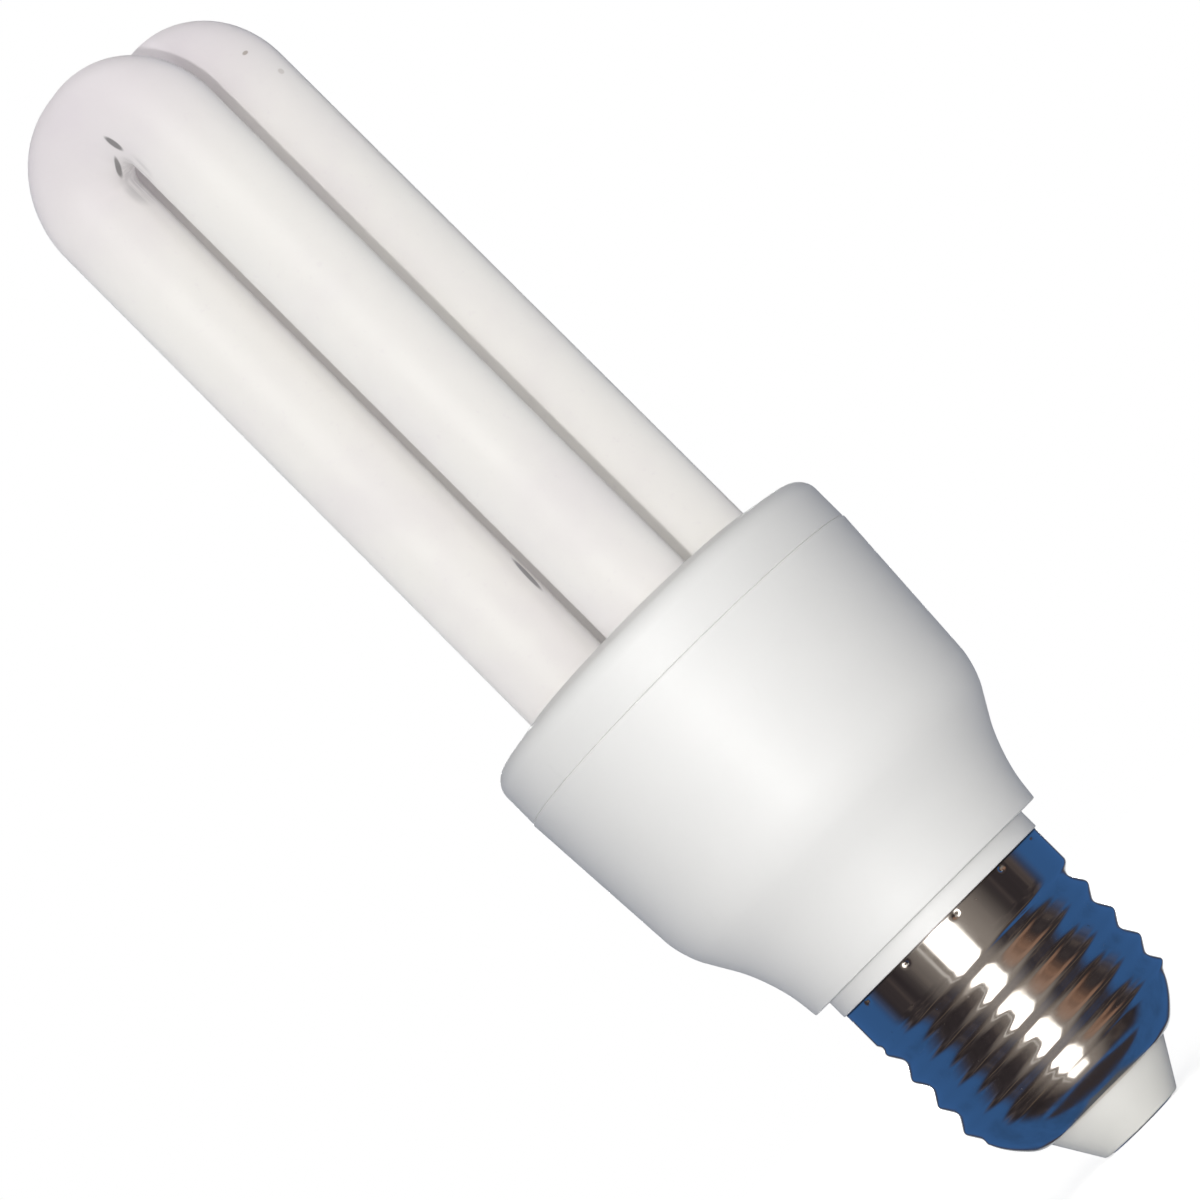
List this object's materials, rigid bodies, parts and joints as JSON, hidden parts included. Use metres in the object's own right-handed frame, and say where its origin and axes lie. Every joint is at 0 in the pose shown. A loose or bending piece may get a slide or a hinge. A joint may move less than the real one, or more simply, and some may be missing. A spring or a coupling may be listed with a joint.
{
  "type": "compact fluorescent lamp",
  "caption": "White compact fluorescent lamp with U-shaped tubes on a bell-shaped ballast housing and a nickel-plated E27 screw cap.",
  "frame": {"origin": "outer face of the centre contact, on the lamp axis", "axes": "+Z along the lamp axis from the cap to the tips of the tubes; each U of the tube lies in a plane parallel to XZ"},
  "size_m": [0.0434, 0.0434, 0.1479],
  "materials": {
    "phosphor_glass": "clear glass coated inside with white phosphor, so opaque and satin white",
    "white_cover": "fine satin moulded white plastic",
    "white_housing": "fine satin moulded white plastic",
    "nickel_shell": "bright nickel plating on rolled brass sheet",
    "white_insulator": "dull white moulded insulator",
    "contact_metal": "nickel plated pin head",
    "cement": "hard off-white cement",
    "board_laminate": "brown paper laminate",
    "tinned_metal": "tinned wire",
    "can_sleeve": "shrunk plastic sleeve on an aluminium can",
    "ferrite": "dark grey fired ferrite",
    "bobbin_plastic": "black moulded plastic",
    "enamelled_copper": "enamelled copper wire",
    "black_epoxy": "moulded black epoxy",
    "film_coating": "dipped epoxy coating",
    "resistor_coating": "tan lacquer",
    "trigger_glass": "blue coated glass body",
    "wire_insulation": "plain wire insulation"
  },
  "bodies": {
    "root": {"discharge_tube": "phosphor_glass", "tube_cover": "white_cover", "ballast_housing": "white_housing", "screw_shell": "nickel_shell", "base_insulator": "white_insulator", "centre_contact": "contact_metal", "tube_cement": "cement", "circuit_board": "board_laminate", "lead_pins": "tinned_metal", "electrode_leads": "tinned_metal", "storage_capacitor": "can_sleeve", "choke_core": "ferrite", "choke_bobbin": "bobbin_plastic", "choke_winding": "enamelled_copper", "drive_ring": "ferrite", "drive_coils": "enamelled_copper", "power_transistors": "black_epoxy", "resonant_capacitor": "film_coating", "coupling_capacitor": "film_coating", "rectifier_diodes": "black_epoxy", "resistors": "resistor_coating", "fuse_resistor": "resistor_coating", "trigger_diode": "trigger_glass", "filter_inductor": "ferrite", "inductor_winding": "enamelled_copper", "live_wire": "wire_insulation", "neutral_wire": "wire_insulation"}
  },
  "joints": []
}
